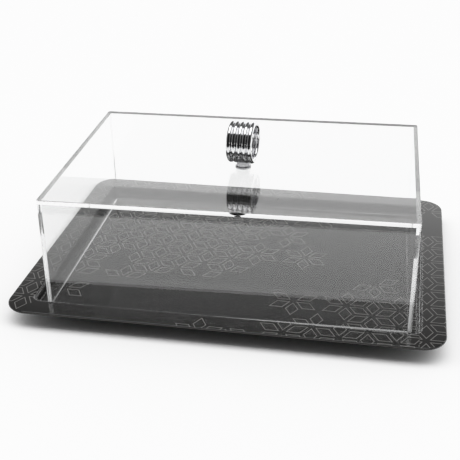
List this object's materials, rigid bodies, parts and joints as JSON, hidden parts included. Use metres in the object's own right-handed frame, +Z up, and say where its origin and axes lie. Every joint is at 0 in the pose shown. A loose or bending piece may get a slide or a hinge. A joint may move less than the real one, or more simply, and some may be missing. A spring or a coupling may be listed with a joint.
{
  "type": "covered serving tray",
  "caption": "Dark glossy rectangular tray with a wide flat rim and a shallow well, and a clear box-shaped cover that lifts off by a polished ring handle.",
  "frame": {"origin": "centre of the tray's footprint, at the level it stands on", "axes": "+X along the tray's long side, +Z up, front towards -Y"},
  "size_m": [0.458, 0.34, 0.1863],
  "materials": {
    "melamine": "dark grey glossy melamine with a thin light printed rhombus pattern",
    "clear_acrylic": "clear polished acrylic sheet",
    "polished_metal": "bright chrome plate",
    "screw_steel": "plain steel"
  },
  "bodies": {
    "tray": {"tray": "melamine"},
    "cover": {"top_panel": "clear_acrylic", "front_panel": "clear_acrylic", "back_panel": "clear_acrylic", "left_panel": "clear_acrylic", "right_panel": "clear_acrylic", "handle_ring_1": "polished_metal", "handle_ring_2": "polished_metal", "handle_ring_3": "polished_metal", "handle_ring_4": "polished_metal", "handle_ring_5": "polished_metal", "handle_pedestal": "polished_metal", "handle_screw": "screw_steel"}
  },
  "joints": [
    {"name": "cover_lift", "type": "slide", "parent": "tray", "child": "cover", "axis": [0, 0, 1], "range_m": [0, 0.2]}
  ]
}
